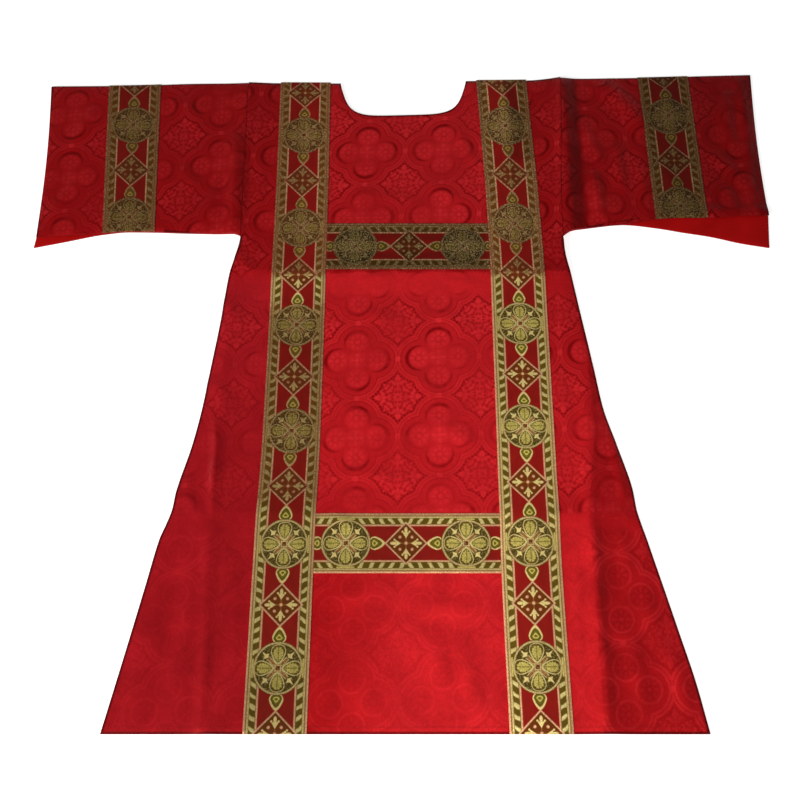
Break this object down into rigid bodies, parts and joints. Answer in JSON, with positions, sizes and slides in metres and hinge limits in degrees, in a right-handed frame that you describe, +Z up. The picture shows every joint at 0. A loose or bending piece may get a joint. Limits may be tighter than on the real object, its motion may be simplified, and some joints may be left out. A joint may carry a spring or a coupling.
{
  "type": "dalmatic",
  "caption": "Wide-sleeved vestment laid flat, front up: flared damask panels, open neck, folded sleeves and gold galloons down the front, across it and round the sleeves.",
  "frame": {"origin": "on the floor, under the middle of the garment's outline", "axes": "+Z up, out of the front of the garment; +X across it, towards the sleeve at the viewer's right; +Y from the hem to the shoulders"},
  "size_m": [1.403, 1.2669, 0.0135],
  "materials": {
    "damask": "red damask, satin ground with a tone-on-tone quatrefoil figure",
    "lining": "plain bright red lining, soft sheen",
    "galloon": "woven gold galloon on bordeaux, metallic thread"
  },
  "bodies": {
    "root": {"front_panel": "damask", "back_panel": "damask", "sleeve_left": "damask", "sleeve_right": "damask", "lining_sleeve_left": "lining", "lining_sleeve_right": "lining", "galloon_left": "galloon", "galloon_right": "galloon", "crossbar_upper": "galloon", "crossbar_lower": "galloon", "band_sleeve_left": "galloon", "band_sleeve_right": "galloon"}
  },
  "joints": []
}
